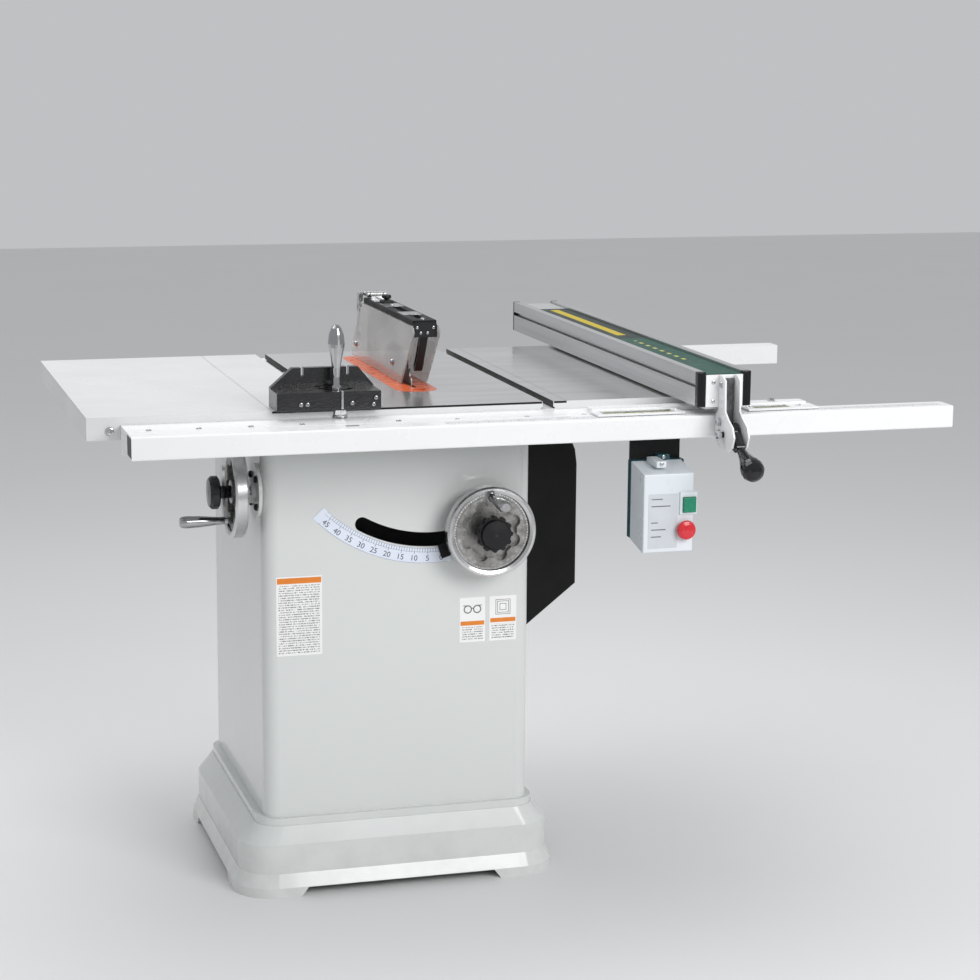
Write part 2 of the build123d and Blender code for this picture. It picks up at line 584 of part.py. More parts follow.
def mitre_bar():
    """Bar with its pivot pin and the two retaining discs that run in the slot foot."""
    body = box(MITRE_X - 9.1, MITRE_X + 9.1, -337, 113, TABLE_Z - 9.0, TABLE_Z - 0.4)
    body += cyl_z(6, TABLE_Z - 1, TABLE_Z + 14, MITRE_X, MITRE_Y)
    for y in (-335, 104):
        body += cyl_z(11.5, TABLE_Z - 12.5, TABLE_Z - 9.9, MITRE_X, y)
        body += cyl_z(4, TABLE_Z - 10, TABLE_Z - 9.0, MITRE_X, y)
    return body - cyl_z(4.0, TABLE_Z - 12, TABLE_Z + 1, CLAMP_X, CLAMP_Y)


def mitre_head():
    z0 = TABLE_Z + 0.6
    x0, x1 = -233.5, -58.5
    body = box(x0, x1, -350, -297, z0, 895) - box(x0 + 9, x1 - 9, -342, -298, z0 - 1, 884)
    body += cyl_z(14, z0, 890, MITRE_X, MITRE_Y)
    body += prism_y([(x0, z0), (x1, z0), (x1, 897), (x1 - 27, 929), (x0 + 37, 929), (x0, 897)], -297, -283)
    for x in (-180, -103):
        body -= box(x - 2.2, x + 2.2, -298, -282, 915, 935)
    # curved slot for the clamp screw, centred on the pivot
    r = ((CLAMP_X - MITRE_X) ** 2 + (CLAMP_Y - MITRE_Y) ** 2) ** 0.5
    angles = [radians(190 + 11.8 * i) for i in range(13)]
    rim = [(MITRE_X + (r + 4.6) * cos(a), MITRE_Y + (r + 4.6) * sin(a)) for a in angles]
    rim += [(MITRE_X + (r - 4.6) * cos(a), MITRE_Y + (r - 4.6) * sin(a)) for a in reversed(angles)]
    body -= prism_z(rim, z0 - 2, 898)
    return body - cyl_z(6.4, z0 - 2, TABLE_Z + 16, MITRE_X, MITRE_Y)


def mitre_handle():
    profile = [(0, 0), (9.2, 0), (9.2, 4), (6.5, 8), (6, 21), (7, 36), (10, 54), (13.4, 70), (14, 76),
               (12.2, 92), (8.5, 102), (4.5, 107), (0, 108)]
    grip = turned(profile, (CLAMP_X, CLAMP_Y, 895.4), (0, 0, 1))
    return grip + cyl_z(3.6, TABLE_Z - 8, 896, CLAMP_X, CLAMP_Y)


# ---- fence -----------------------------------------------------------------
def fence_beam():
    x0, x1 = FENCE_X0 + FACE_T + 0.1, FENCE_X1 - FACE_T - 0.1
    return box(x0, x1, -466, FENCE_Y1, 866, 920) - box(x0 + 2.5, x1 - 2.5, -463, FENCE_Y1 + 1, 868.5, 917.5)


def fence_face(x0, way):
    """Hollow face extrusion with a T groove along its outer side; way is the outer direction."""
    body = box(x0, x0 + FACE_T, -457, FENCE_Y1, 867, 925)
    out = x0 if way < 0 else x0 + FACE_T
    for d0, d1, z0, z1 in ((-1, 4, 898, 905), (3.6, 7.6, 894, 909), (2, 12, 870, 890), (2, 12, 913, 922)):
        a, b = sorted((out - way * d0, out - way * d1))
        body -= box(a, b, -458, FENCE_Y1 + 1, z0, z1)
    return body


def fence_faces():
    return group([fence_face(FENCE_X0, -1), fence_face(FENCE_X1 - FACE_T, 1)])


def fence_square():
    """Cross bar that squares the fence on the front rail, with its saddle and the far-end glide."""
    bar = box(296, 684, -390, -361, 850.4, 857) + box(473, 529, -390, -361, 850.4, 863)
    bar += box(473, 529, -452, -361, 860, 865.9)
    return bar + box(473, 529, 359, 391, 860, 865.9) + box(478, 524, 361, 389, 850.4, 861)


def fence_cursors():
    """Window frames over the rail scale, one each side of the fence, each with its clear lens."""
    frames = []
    for x0, x1, w0, w1 in ((291, 445, 303, 430), (560, 688, 575, 640)):
        frame = box(x0, x1, -436, -390.1, 851.2, 854.4)
        frames.append(frame - box(w0, w1, -428, -399, 850, 856))
    return group(frames)


def fence_bracket():
    """Folded bracket in front of the rail; the lever works between its cheeks."""
    cheek = [(-469.4, 920), (-484, 920), (-496, 913), (-498, 862), (-512, 851), (-532, 840), (-540, 824),
             (-532, 806), (-512, 797), (-474, 799), (-457.5, 812), (-457.5, 853), (-469.4, 862)]
    body = prism_x(cheek, 491, 494) + prism_x(cheek, 517, 520) + box(468, 533.5, -469.3, -466.1, 866, 920)
    body += box(491, 520, -472.6, -469.3, 852, 919)
    return body - cyl_x(5.3, 480, 530, LEVER_Y, LEVER_Z)


def fence_lever():
    """Cam lever and its pivot pin."""
    body = cyl_x(5.0, 486, 525, LEVER_Y, LEVER_Z) + cyl_x(19, 497, 514, LEVER_Y, LEVER_Z)
    body += hull_x([(LEVER_Y, LEVER_Z, 16), (-529.5, 806.8, 8.5)], 498.5, 512.5)
    return body + turned([(0, 0), (5.4, 0), (5.4, 40), (0, 40)], (LEVER_X, -521.7, 810.4), (0, -92, -42))


def lever_knob():
    profile = [(0, 0), (7.4, 0), (8.2, 8), (11.0, 22), (15.0, 35), (18.6, 47), (19.6, 54), (18.8, 61), (15.0, 68),
               (8.5, 72), (0, 73.5)]
    root, way = (LEVER_X, -538.6, 802.6), (0, -92, -42)
    return turned(profile, root, way) - turned([(0, -5), (5.5, -5), (5.5, 30), (0, 30)], root, way)


# ---- switch ----------------------------------------------------------------
def switch_bracket():
    return box(366, 456, -384.9, -382, 640, 812) + box(366, 456, -401, -382, 809, 811.9)


def switch_back():
    body = box(363.5, 458, -401, -385, 634, 768) + box(410, 432, -401, -385, 766, 777)
    return fillet(body.edges().filter_by(Axis.Y), 2)


def switch_cover():
    body = prism_x([(-401.1, 634), (-466, 621), (-466, 755), (-401.1, 767)], 363.5, 452)
    body = fillet(body.edges().filter_by(lambda e: e.center().Y < -460), 2.5)
    body += box(427, 457, -470, -464, 686, 724)
    body -= prism_x([(-400, 636.8), (-463.4, 624), (-463.4, 752.2), (-400, 764)], 366, 449.5)
    body -= box(431.4, 454.6, -480, -450, 689, 715.6)
    return body - cyl_y(8.5, -490, -450, 437, 660)


def start_button():
    body = box(432, 454, -475, -465, 689.6, 715)
    return fillet(body.edges().group_by(Axis.Y)[0], 1.2) + box(436, 450, -466, -455, 694, 710)


def stop_button():
    profile = [(0, 0), (8, 0), (8, 16.4), (10, 17.2), (15.5, 18.4), (16.5, 21.5), (15, 25.5), (10, 27.8), (0, 28.5)]
    return turned(profile, (437, -454, 660), (0, -1, 0))


NODES = {
    "base_plinth": base_plinth, "cabinet_shell": cabinet_shell, "stand_bolts": stand_bolts,
    "dust_port": dust_port, "dust_chute": dust_chute, "motor_cover": motor_cover,
    "table_main": table_main, "wing_left": lambda: wing(TABLE_X0 - WING),
    "wing_right": lambda: wing(TABLE_X1), "throat_insert": throat_insert,
    "rail_front_tube": rail_front_tube, "rail_front_angle": rail_front_angle, "rail_rear": rail_rear,
    "tilt_scale": tilt_scale, "tilt_flange": tilt_flange, "trunnions": trunnions,
    "cradle": cradle, "tilt_gear": tilt_gear, "pivot_pin": pivot_pin, "tilt_pointer": tilt_pointer,
    "arbor_arm": arbor_arm, "arbor_bearings": arbor_bearings, "belts": belts,
    "arbor_shaft": arbor_shaft, "arbor_pulley": arbor_pulley, "arbor_nut": arbor_nut,
    "saw_blade": saw_blade, "motor_body": motor_body, "motor_rotor": motor_rotor,
    "splitter": splitter, "guard_beam": guard_beam, "guard_nose": guard_nose,
    "guard_arm": guard_arm, "guard_yoke": guard_yoke,
    "shield_left": lambda: shield(43.5), "shield_right": lambda: shield(90.0),
    "elevation_shaft": elevation_shaft, "handwheel_front": lambda: FRONT_WHEEL * wheel(),
    "grip_front": lambda: FRONT_WHEEL * crank_grip(), "lock_knob_front": lambda: FRONT_WHEEL * lobed_knob(),
    "tilt_shaft": tilt_shaft, "handwheel_left": lambda: LEFT_WHEEL * wheel(),
    "grip_left": lambda: LEFT_WHEEL * crank_grip(), "lock_knob_left": lambda: LEFT_WHEEL * round_knob(),
    "mitre_bar": mitre_bar, "mitre_head": mitre_head, "mitre_handle": mitre_handle,
    "fence_beam": fence_beam, "fence_faces": fence_faces, "fence_square": fence_square,
    "fence_cursors": fence_cursors, "fence_bracket": fence_bracket, "fence_lever": fence_lever,
    "lever_knob": lever_knob, "switch_bracket": switch_bracket, "switch_back": switch_back,
    "switch_cover": switch_cover, "start_button": start_button, "stop_button": stop_button,
}


def main():
    os.makedirs("parts", exist_ok=True)
    for name, make in NODES.items():
        export_step(make(), f"parts/{name}.step")


main()
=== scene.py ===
"""Cabinet table saw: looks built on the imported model. Lengths are in metres."""
import json
from math import cos, pi, radians, sin

import bmesh
import bpy
from mathutils import Matrix, Vector


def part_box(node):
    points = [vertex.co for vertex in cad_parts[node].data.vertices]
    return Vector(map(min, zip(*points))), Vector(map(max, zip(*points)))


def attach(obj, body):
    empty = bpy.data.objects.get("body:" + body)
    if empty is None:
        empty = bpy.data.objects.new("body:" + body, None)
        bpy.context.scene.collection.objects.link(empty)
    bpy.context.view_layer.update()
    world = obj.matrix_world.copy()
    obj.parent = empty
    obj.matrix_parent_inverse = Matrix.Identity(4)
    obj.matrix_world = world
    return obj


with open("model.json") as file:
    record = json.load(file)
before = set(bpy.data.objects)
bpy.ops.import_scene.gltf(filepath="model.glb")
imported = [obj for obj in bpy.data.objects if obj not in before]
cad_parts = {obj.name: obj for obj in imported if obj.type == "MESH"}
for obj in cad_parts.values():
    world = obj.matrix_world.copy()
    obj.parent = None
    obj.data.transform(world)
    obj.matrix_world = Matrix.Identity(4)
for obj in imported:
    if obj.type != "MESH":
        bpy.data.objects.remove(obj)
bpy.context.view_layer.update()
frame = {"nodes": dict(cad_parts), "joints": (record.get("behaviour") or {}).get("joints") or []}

# ---- places in the frame ---------------------------------------------------
PIVOT = {joint["name"]: joint["pos_m"] for joint in frame["joints"] if "pos_m" in joint}
TABLE_LO, TABLE_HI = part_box("table_main")
INSERT_LO, INSERT_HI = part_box("throat_insert")
RAIL_LO, RAIL_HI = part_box("rail_front_tube")
SHELL_LO, SHELL_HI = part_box("cabinet_shell")
BEAM_LO, BEAM_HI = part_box("fence_beam")
FACES_LO, FACES_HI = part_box("fence_faces")
CURSORS_LO, CURSORS_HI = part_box("fence_cursors")
TOP = TABLE_HI.z                    # upper face of the table
SHELF = RAIL_HI.z                   # upper face of the front rail and its shelf
SLOT_X = (-0.124, 0.2366)           # centres of the two mitre slots
CURSOR_WINDOWS = ((0.303, 0.430), (0.575, 0.640))
CURSOR_Y = (-0.428, -0.399)


# ---- materials -------------------------------------------------------------
MAT = {}


def node(tree, kind, **values):
    n = tree.nodes.new(kind)
    for key, value in values.items():
        setattr(n, key, value)
    return n


def noise(tree, coords, scale, detail=3.0, stretch=None, rough=0.55):
    source = coords
    if stretch:
        mapping = node(tree, "ShaderNodeMapping")
        mapping.inputs["Scale"].default_value = stretch
        tree.links.new(coords, mapping.inputs["Vector"])
        source = mapping.outputs["Vector"]
    n = node(tree, "ShaderNodeTexNoise")
    n.inputs["Scale"].default_value = scale
    n.inputs["Detail"].default_value = detail
    n.inputs["Roughness"].default_value = rough
    tree.links.new(source, n.inputs["Vector"])
    return n.outputs["Fac"]


def ramp(tree, fac, low, high, a=(0, 0, 0, 1), b=(1, 1, 1, 1)):
    n = node(tree, "ShaderNodeValToRGB")
    n.color_ramp.elements[0].position = low
    n.color_ramp.elements[1].position = high
    n.color_ramp.elements[0].color = a
    n.color_ramp.elements[1].color = b
    tree.links.new(fac, n.inputs["Fac"])
    return n.outputs["Color"]


def mix(tree, fac, a, b, blend="MIX"):
    n = node(tree, "ShaderNodeMix", data_type="RGBA", blend_type=blend)
    for value, socket in ((fac, n.inputs[0]), (a, n.inputs[6]), (b, n.inputs[7])):
        if isinstance(value, (int, float)):
            socket.default_value = value
        elif isinstance(value, tuple):
            socket.default_value = value if len(value) == 4 else (*value, 1)
        else:
            tree.links.new(value, socket)
    return n.outputs[2]


def calc(tree, operation, a, b=0.0):
    n = node(tree, "ShaderNodeMath", operation=operation)
    for value, socket in ((a, n.inputs[0]), (b, n.inputs[1])):
        if isinstance(value, (int, float)):
            socket.default_value = value
        else:
            tree.links.new(value, socket)
    return n.outputs[0]


def inside(tree, value, low, high):
    """One where a coordinate lies between two limits, otherwise zero."""
    above, below = calc(tree, "GREATER_THAN", value, low), calc(tree, "LESS_THAN", value, high)
    return calc(tree, "MULTIPLY", above, below)


def xyz(tree, coords):
    split = node(tree, "ShaderNodeSeparateXYZ")
    tree.links.new(coords, split.inputs[0])
    return split.outputs


def remap(tree, value, source, target):
    """Straight-line change of a value from one range to another."""
    n = node(tree, "ShaderNodeMapRange")
    n.inputs["From Min"].default_value, n.inputs["From Max"].default_value = source
    n.inputs["To Min"].default_value, n.inputs["To Max"].default_value = target
    tree.links.new(value, n.inputs["Value"])
    return n.outputs["Result"]


def bump_map(tree, height, strength, distance):
    bump = node(tree, "ShaderNodeBump")
    bump.inputs["Strength"].default_value = strength
    bump.inputs["Distance"].default_value = distance
    tree.links.new(height, bump.inputs["Height"])
    tree.links.new(bump.outputs["Normal"], tree.nodes["Principled BSDF"].inputs["Normal"])


def surface(name, color, shade, rough=(0.3, 0.4), metal=0.0, grain=(180, 0.02, 0.0004), patch=9.0,
            stretch=None, wear=None, coat=0.0, paint=None, spread=(0.35, 0.7), specular=0.5):
    """Procedural finish, kept in MAT: colour drift, uneven roughness, a fine bump, and wear if given."""
    m = bpy.data.materials.new(name)
    m.use_nodes = True
    tree = m.node_tree
    bsdf = tree.nodes["Principled BSDF"]
    coords = node(tree, "ShaderNodeTexCoord").outputs["Object"]
    drift = noise(tree, coords, patch, 4.0, stretch)
    col = mix(tree, ramp(tree, drift, *spread), color, shade)
    if paint:
        col = paint(tree, coords, col)
    if wear:
        geometry = node(tree, "ShaderNodeNewGeometry")
        edge = ramp(tree, geometry.outputs["Pointiness"], wear[1], wear[1] + 0.05)
        ragged = calc(tree, "MULTIPLY", edge, ramp(tree, noise(tree, coords, 60, 4.0), 0.4, 0.62))
        col = mix(tree, ragged, col, wear[0])
    tree.links.new(col, bsdf.inputs["Base Color"])
    blotch = noise(tree, coords, patch * 3.1, 5.0, stretch)
    tree.links.new(remap(tree, blotch, (0.3, 0.72), rough), bsdf.inputs["Roughness"])
    bump_map(tree, noise(tree, coords, grain[0], 3.0, stretch), grain[1] * 10, grain[2])
    bsdf.inputs["Metallic"].default_value = metal
    bsdf.inputs["Coat Weight"].default_value = coat
    bsdf.inputs["Specular IOR Level"].default_value = specular
    MAT[name] = m
    return m


def hammered(name, color, cell):
    """Black paint with the pebbled skin of a sand casting."""
    m = surface(name, color, tuple(c * 1.8 for c in color), (0.16, 0.3), coat=0.25)
    tree = m.node_tree
    coords = next(n for n in tree.nodes if n.type == "TEX_COORD").outputs["Object"]
    cells = node(tree, "ShaderNodeTexVoronoi")
    cells.inputs["Scale"].default_value = cell
    tree.links.new(coords, cells.inputs["Vector"])
    bump_map(tree, cells.outputs["Distance"], 0.45, 0.0007)
    return m


def clear(name, tint, rough, weight, ior):
    """Clear plastic sheet with a faint smoke tint and fine scuffs."""
    m = surface(name, tint, tuple(c * 0.85 for c in tint), rough, grain=(90, 0.01, 0.0002))
    bsdf = m.node_tree.nodes["Principled BSDF"]
    bsdf.inputs["Transmission Weight"].default_value = weight
    bsdf.inputs["IOR"].default_value = ior
    return m


def stripes(axis, pitch, width, color, low, high, band_axis=1):
    """Painted marks at a pitch along one axis, kept inside a band of another."""
    def paint(tree, coords, col):
        place = xyz(tree, coords)
        phase = calc(tree, "FRACT", calc(tree, "DIVIDE", place[axis], pitch))
        mark = calc(tree, "LESS_THAN", phase, width / pitch)
        mark = calc(tree, "MULTIPLY", mark, inside(tree, place[band_axis], low, high))
        return mix(tree, mark, col, color)
    return paint


def within(axis, low, high, color):
    """Plain band of colour between two limits along one axis."""
    def paint(tree, coords, col):
        return mix(tree, inside(tree, xyz(tree, coords)[axis], low, high), col, color)
    return paint


def chain(*paints):
    """Several painted patterns, one over another."""
    def paint(tree, coords, col):
        for p in paints:
            col = p(tree, coords, col)
        return col
    return paint


def brighter_left(tree, coords, col):
    """Painted reflection: the ground top is paler toward its left side."""
    fade = remap(tree, xyz(tree, coords)[0], (-0.12, 0.20), (0.9, 0.0))
    return mix(tree, fade, col, (0.86, 0.86, 0.865, 1))


def print_rows(tree, coords, col):
    """Rows of small unreadable marks standing in for a notice's text."""
    row_pitch, row_part = 0.0042, 0.48
    height = xyz(tree, coords)[2]
    row = calc(tree, "LESS_THAN", calc(tree, "FRACT", calc(tree, "DIVIDE", height, row_pitch)), row_part)
    marks = noise(tree, coords, 1.0, 1.0, stretch=(900.0, 1.0, 240.0))
    dark = calc(tree, "MULTIPLY", row, calc(tree, "GREATER_THAN", marks, 0.48))
    return mix(tree, calc(tree, "MULTIPLY", dark, 0.85), col, (0.07, 0.07, 0.07, 1))


def fence_print(tree, coords, col):
    """Green panel of the fence: a yellow streak at the far end, then short generic dashes."""
    x, y, _ = xyz(tree, coords)
    bare_from, dark_from, dash_pitch, dash_part = 0.48, 0.005, 0.036, 0.42
    col = mix(tree, calc(tree, "GREATER_THAN", y, bare_from), col, (0.42, 0.43, 0.43, 1))
    col = mix(tree, inside(tree, y, dark_from, bare_from), col, (0.012, 0.028, 0.022, 1))
    streak = calc(tree, "MULTIPLY", inside(tree, y, 0.05, 0.46), inside(tree, x, 0.493, 0.511))
    col = mix(tree, streak, col, (0.55, 0.42, 0.01, 1))
    dash = calc(tree, "LESS_THAN", calc(tree, "FRACT", calc(tree, "DIVIDE", y, dash_pitch)), dash_part)
    row = calc(tree, "MULTIPLY", inside(tree, y, -0.31, -0.03), inside(tree, x, 0.496, 0.503))
    return mix(tree, calc(tree, "MULTIPLY", dash, row), col, (0.55, 0.5, 0.12, 1))


def dust_low(tree, coords, col):
    """Shop dust settled toward the floor."""
    amount = remap(tree, xyz(tree, coords)[2], (0.0, 0.16), (0.32, 0.0))
    speck = ramp(tree, noise(tree, coords, 22, 5.0), 0.42, 0.75)
    return mix(tree, calc(tree, "MULTIPLY", amount, speck), col, (0.42, 0.39, 0.34, 1))


INK = (0.03, 0.03, 0.03, 1)
TAPE_INK = (0.05, 0.05, 0.05, 1)
QUARTER_INCH = 0.00635              # pitch of the rule's short marks
INCH = 0.0254                       # pitch of its long marks
surface("enamel", (0.67, 0.69, 0.675), (0.645, 0.665, 0.65), (0.14, 0.22), grain=(140, 0.008, 0.0004),
        patch=1.6, coat=0.3, paint=dust_low)
# The ground top carries a painted reflection, paler toward its left side.
surface("cast_top", (0.74, 0.74, 0.745), (0.64, 0.64, 0.645), (0.13, 0.22), 0.85, (300, 0.006, 0.0001),
        5.0, stretch=(1.0, 8.0, 1.0), paint=brighter_left)
# Painted reflection: a pale non-metal copy of the ground top, for the left wing's top and the strip of the
# table left of the left mitre slot, which show a brighter reflection.
surface("wing", (0.76, 0.765, 0.77), (0.71, 0.715, 0.72), (0.2, 0.3), grain=(200, 0.006, 0.0002),
        patch=2.6, coat=0.2)
surface("cast_side", (0.72, 0.73, 0.73), (0.66, 0.67, 0.67), (0.3, 0.42), grain=(200, 0.02, 0.0004),
        patch=6.0)
# Painted shade: near-black finish for the insides of the mitre slots and the insert recess.
surface("painted_slot_shade", (0.035, 0.035, 0.036), (0.06, 0.06, 0.06), (0.45, 0.6), 0.3,
        grain=(260, 0.03, 0.0004), patch=12.0)
surface("rail", (0.86, 0.865, 0.87), (0.82, 0.825, 0.83), (0.22, 0.34), grain=(200, 0.006, 0.0003),
        patch=3.0)
surface("iron", (0.11, 0.11, 0.112), (0.06, 0.06, 0.062), (0.42, 0.6), 0.6, (240, 0.04, 0.0006), 14.0,
        wear=((0.4, 0.4, 0.4, 1), 0.56))
surface("steel", (0.52, 0.525, 0.53), (0.38, 0.385, 0.39), (0.2, 0.34), 1.0, (500, 0.02, 0.0002), 20.0,
        stretch=(1, 6, 1))
surface("zinc", (0.62, 0.63, 0.65), (0.45, 0.46, 0.48), (0.14, 0.26), 1.0, (600, 0.01, 0.0001), 90.0)
surface("yoke", (0.42, 0.42, 0.42), (0.30, 0.30, 0.30), (0.2, 0.34), 0.9, (300, 0.02, 0.0002), 50.0,
        wear=((0.8, 0.8, 0.8, 1), 0.55))
surface("chrome", (0.46, 0.46, 0.47), (0.30, 0.30, 0.31), (0.07, 0.15), 1.0, (260, 0.01, 0.0002), 26.0)
surface("wheel_rim", (0.66, 0.66, 0.66), (0.50, 0.50, 0.50), (0.16, 0.28), 1.0, (220, 0.02, 0.0003),
        22.0)
surface("cast_wheel", (0.30, 0.295, 0.285), (0.19, 0.185, 0.18), (0.3, 0.46), 0.9, (260, 0.10, 0.0007),
        48.0, wear=((0.8, 0.8, 0.8, 1), 0.53), spread=(0.42, 0.6))
surface("orange", (0.82, 0.16, 0.05), (0.70, 0.12, 0.035), (0.22, 0.34), grain=(300, 0.008, 0.0002),
        patch=18.0)
surface("alu", (0.70, 0.705, 0.71), (0.50, 0.505, 0.51), (0.26, 0.4), 1.0, (700, 0.02, 0.0002), 34.0,
        stretch=(1, 0.02, 1))
surface("black_paint", (0.004, 0.004, 0.0045), (0.007, 0.007, 0.0075), (0.42, 0.6),
        grain=(330, 0.05, 0.0005), patch=6.0, specular=0.2)
surface("black_gloss", (0.004, 0.004, 0.005), (0.007, 0.007, 0.008), (0.04, 0.09),
        grain=(80, 0.004, 0.0002), patch=20.0)
surface("black_plastic", (0.006, 0.006, 0.007), (0.011, 0.011, 0.012), (0.32, 0.46),
        grain=(800, 0.03, 0.0002), patch=30.0, specular=0.3)
hammered("casting", (0.006, 0.006, 0.007), 300)
surface("box_plastic", (0.74, 0.785, 0.82), (0.70, 0.745, 0.78), (0.26, 0.38),
        grain=(500, 0.01, 0.0002), patch=6.0)
surface("teal", (0.012, 0.075, 0.09), (0.008, 0.055, 0.068), (0.32, 0.48), grain=(900, 0.02, 0.0002))
surface("green_button", (0.008, 0.24, 0.13), (0.006, 0.19, 0.10), (0.2, 0.32), patch=60.0)
surface("red_button", (0.68, 0.018, 0.03), (0.56, 0.012, 0.02), (0.16, 0.28), patch=50.0, coat=0.3)
clear("smoke", (0.86, 0.855, 0.84), (0.05, 0.12), 0.72, 1.3)
clear("lens", (0.97, 0.98, 0.97), (0.0, 0.02), 1.0, 1.06)
surface("rubber", (0.02, 0.02, 0.02), (0.035, 0.034, 0.033), (0.55, 0.75), grain=(500, 0.06, 0.0004))
surface("motor", (0.035, 0.038, 0.042), (0.055, 0.057, 0.06), (0.4, 0.58), grain=(300, 0.04, 0.0005),
        wear=((0.3, 0.3, 0.3, 1), 0.58))
surface("scale", (0.78, 0.83, 0.93), (0.73, 0.785, 0.90), (0.3, 0.42), patch=30.0,
        grain=(500, 0.006, 0.0001))
surface("ink", (0.02, 0.03, 0.06), (0.035, 0.045, 0.08), (0.4, 0.55), patch=90.0)
surface("label", (0.90, 0.90, 0.89), (0.86, 0.86, 0.85), (0.34, 0.5), patch=30.0)
surface("print", (0.90, 0.90, 0.89), (0.86, 0.86, 0.85), (0.34, 0.5), patch=30.0, paint=print_rows)
surface("label_orange", (0.80, 0.24, 0.02), (0.72, 0.2, 0.015), (0.34, 0.5), patch=50.0)
surface("label_grey", (0.12, 0.12, 0.12), (0.18, 0.18, 0.18), (0.4, 0.55), patch=80.0)
surface("tape", (0.72, 0.73, 0.74), (0.66, 0.67, 0.68), (0.24, 0.36), patch=24.0,
        paint=chain(stripes(0, QUARTER_INCH, 0.0007, TAPE_INK, -0.4395, -0.434),
                    stripes(0, INCH, 0.0010, TAPE_INK, -0.4395, -0.430)))
surface("tape_yellow", (0.46, 0.42, 0.05), (0.38, 0.35, 0.04), (0.4, 0.5), patch=24.0,
        paint=chain(within(1, -0.4075, -0.398, (0.02, 0.03, 0.025, 1)),
                    stripes(0, QUARTER_INCH, 0.0009, INK, -0.428, -0.423),
                    stripes(0, INCH, 0.0014, INK, -0.428, -0.418)))
surface("fence_panel", (0.004, 0.075, 0.05), (0.003, 0.058, 0.038), (0.34, 0.46), patch=12.0,
        paint=fence_print, specular=0.2)
surface("blade", (0.20, 0.20, 0.205), (0.12, 0.12, 0.125), (0.28, 0.4), 0.9, (400, 0.02, 0.0002), 30.0)
surface("panel", (0.60, 0.635, 0.665), (0.56, 0.595, 0.625), (0.3, 0.42), patch=20.0)
surface("carbide", (0.16, 0.15, 0.14), (0.10, 0.10, 0.09), (0.3, 0.42), 0.8, patch=60.0)
surface("floor", (0.78, 0.78, 0.78), (0.77, 0.77, 0.77), (0.6, 0.7), patch=1.2)

FINISH = {
    "enamel": ("base_plinth", "cabinet_shell", "tilt_flange"),
    "cast_top": ("table_main", "wing_right"),
    "wing": ("wing_left",),
    "rail": ("rail_front_tube", "rail_front_angle", "rail_rear", "fence_bracket", "fence_square",
             "fence_cursors"),
    "iron": ("trunnions", "cradle", "tilt_gear", "arbor_arm", "arbor_pulley"),
    "steel": ("dust_chute", "pivot_pin", "arbor_bearings", "arbor_shaft", "motor_rotor", "splitter",
              "elevation_shaft", "tilt_shaft", "mitre_bar"),
    "zinc": ("stand_bolts", "arbor_nut"),
    "yoke": ("guard_yoke",),
    "chrome": ("mitre_handle", "grip_left", "grip_front"),
    "cast_wheel": ("handwheel_front", "handwheel_left"),
    "orange": ("throat_insert",),
    "blade": ("saw_blade",),
    "alu": ("fence_beam", "fence_faces"),
    "black_paint": ("motor_cover", "switch_bracket", "guard_beam", "tilt_pointer"),
    "black_gloss": ("lever_knob", "fence_lever", "lock_knob_left"),
    "black_plastic": ("dust_port", "guard_nose", "guard_arm", "lock_knob_front"),
    "casting": ("mitre_head",),
    "box_plastic": ("switch_cover",),
    "teal": ("switch_back",),
    "green_button": ("start_button",),
    "red_button": ("stop_button",),
    "smoke": ("shield_left", "shield_right"),
    "rubber": ("belts",),
    "motor": ("motor_body",),
    "scale": ("tilt_scale",),
}


def dress(obj, material):
    """Give a CAD node one finish all over."""
    obj.data.materials.clear()
    obj.data.materials.append(material)
    for polygon in obj.data.polygons:
        polygon.material_index = 0


for key, names in FINISH.items():
    for name in names:
        dress(frame["nodes"][name], MAT[key])


def split_finish(name, extra, choose):
    """Give a casting's faces different finishes; choose maps a face to a slot number."""
    mesh = frame["nodes"][name].data
    for key in extra:
        mesh.materials.append(MAT[key])
    for polygon in mesh.polygons:
        polygon.material_index = choose(polygon.center, polygon.normal)


def on_top(centre, normal):
    return normal.z > 0.9 and centre.z > TOP - 0.0002


def table_slot(centre, normal):
    """0 ground top, 1 rough sides, 2 painted shade in the slots and recess, 3 the strip left of the left
    mitre slot, in the wing's pale finish as a painted reflection.
    """
    if on_top(centre, normal):
        return 3 if centre.x < SLOT_X[0] - 0.010 else 0
    if normal.y < -0.9 and centre.y < TABLE_LO.y + 0.0003:
        return 1
    return 2 if centre.z > TOP - 0.02 and normal.z < 0.9 or centre.z > TOP - 0.012 else 1


def wing_slot(centre, normal):
    return 0 if on_top(centre, normal) else 1


# Slot 2 is painted shade in the slots and recess; slot 3 is the pale wing finish as a painted reflection.
split_finish("table_main", ("cast_side", "painted_slot_shade", "wing"), table_slot)
split_finish("wing_left", ("cast_side",), wing_slot)
split_finish("wing_right", ("cast_side",), wing_slot)


def rim_slot(joint, axis):
    """1 on the polished rim of a handwheel, 0 nearer its axis."""
    origin, along = Vector(PIVOT[joint]), Vector(axis)
    rim_from = 0.0645

    def choose(centre, normal):
        away = centre - origin
        away -= along * away.dot(along)
        return 1 if away.length > rim_from else 0
    return choose


split_finish("handwheel_front", ("wheel_rim",), rim_slot("raise_wheel_turn", (0, 1, 0)))
split_finish("handwheel_left", ("wheel_rim",), rim_slot("tilt_wheel_turn", (1, 0, 0)))


